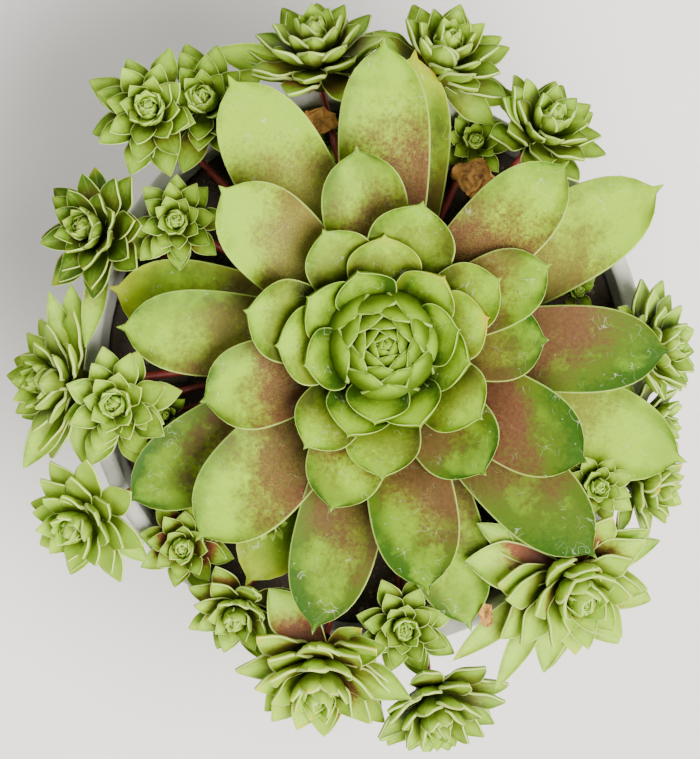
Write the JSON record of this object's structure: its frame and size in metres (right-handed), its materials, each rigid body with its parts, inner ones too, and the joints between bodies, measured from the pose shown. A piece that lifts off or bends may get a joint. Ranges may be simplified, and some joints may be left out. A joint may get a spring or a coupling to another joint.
{
  "type": "hens and chicks in a pot",
  "caption": "Hens and chicks: a broad succulent rosette ringed by its offsets on red runners, over soil in a plain round tapered pot with drain holes.",
  "frame": {"origin": "centre of the pot's flat base, on the surface it stands on", "axes": "+Z up along the pot's axis; seen from above in the picture's framing, +X is to the right and +Y is up"},
  "size_m": [0.1729, 0.1881, 0.1313],
  "materials": {
    "pale_stoneware": "matte, off-white rim over a grey-green body",
    "potting_soil": "dark crumbly soil with fine grit",
    "hen_leaf": "satin green flesh with a red-brown flush and pale margins",
    "chick_leaf": "satin grey-green flesh with pale margins",
    "runner": "satin red-brown stolon",
    "dry_leaf": "tan, papery and wrinkled"
  },
  "bodies": {
    "root": {"pot": "pale_stoneware", "soil": "potting_soil", "hen": "hen_leaf", "chick_01": "chick_leaf", "chick_02": "chick_leaf", "chick_03": "chick_leaf", "chick_04": "chick_leaf", "chick_05": "chick_leaf", "chick_06": "chick_leaf", "chick_07": "chick_leaf", "chick_08": "chick_leaf", "chick_09": "chick_leaf", "chick_10": "chick_leaf", "chick_11": "chick_leaf", "chick_12": "chick_leaf", "chick_13": "chick_leaf", "chick_14": "chick_leaf", "chick_15": "chick_leaf", "chick_16": "chick_leaf", "chick_17": "chick_leaf", "chick_18": "chick_leaf", "chick_19": "chick_leaf", "chick_20": "chick_leaf", "chick_21": "chick_leaf", "chick_22": "chick_leaf", "chick_23": "chick_leaf", "chick_24": "chick_leaf", "chick_25": "chick_leaf", "runner_01": "runner", "runner_02": "runner", "runner_03": "runner", "runner_04": "runner", "runner_05": "runner", "runner_06": "runner", "runner_07": "runner", "runner_08": "runner", "runner_09": "runner", "runner_10": "runner", "runner_11": "runner", "runner_12": "runner", "runner_13": "runner", "runner_14": "runner", "runner_15": "runner", "runner_16": "runner", "runner_17": "runner", "runner_18": "runner", "runner_19": "runner", "runner_20": "runner", "runner_21": "runner", "runner_22": "runner", "runner_23": "runner", "runner_24": "runner", "runner_25": "runner", "dry_leaf_1": "dry_leaf", "dry_leaf_2": "dry_leaf", "dry_leaf_3": "dry_leaf"}
  },
  "joints": []
}
